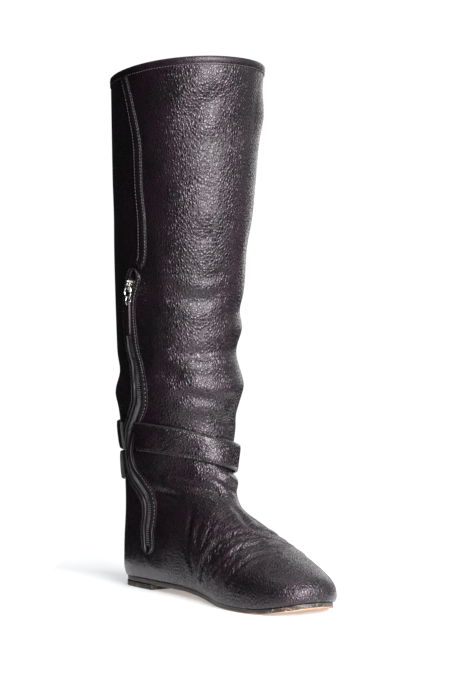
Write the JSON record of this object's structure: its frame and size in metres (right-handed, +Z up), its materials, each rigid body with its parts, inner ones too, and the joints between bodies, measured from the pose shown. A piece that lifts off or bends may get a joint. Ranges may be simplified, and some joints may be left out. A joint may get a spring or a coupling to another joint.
{
  "type": "knee-high boot",
  "caption": "Knee-high flat boot for the left foot: slouched one-piece leather shaft and vamp, medial zip with a hanging pull, double ankle strap.",
  "frame": {"origin": "on the floor under the middle of the boot's bounding box", "axes": "+Z up along the shaft, -Y towards the toe, -X towards the medial side with the zip"},
  "size_m": [0.1224, 0.263, 0.44],
  "materials": {
    "black_leather": "pebbled, semi-gloss",
    "sole_leather": "matt, edge painted black",
    "insole_leather": "matt",
    "heel_rubber": "matt",
    "zip_fabric": "woven, matt",
    "nickel": "polished nickel"
  },
  "bodies": {
    "boot": {"upper": "black_leather", "outsole": "sole_leather", "insole": "insole_leather", "heel_top_piece": "heel_rubber", "zip_tape": "zip_fabric", "zip_slider": "nickel", "strap_long": "black_leather", "strap_short": "black_leather"},
    "pull": {"zip_ring": "nickel", "zip_link": "nickel", "zip_tab": "black_leather"}
  },
  "joints": [
    {"name": "zip_pull", "type": "hinge", "parent": "boot", "child": "pull", "pos_m": [-0.05846, 0.06327, 0.25597], "axis": [-0.0573, 0.9984, 0], "range_deg": [0, 150]}
  ]
}
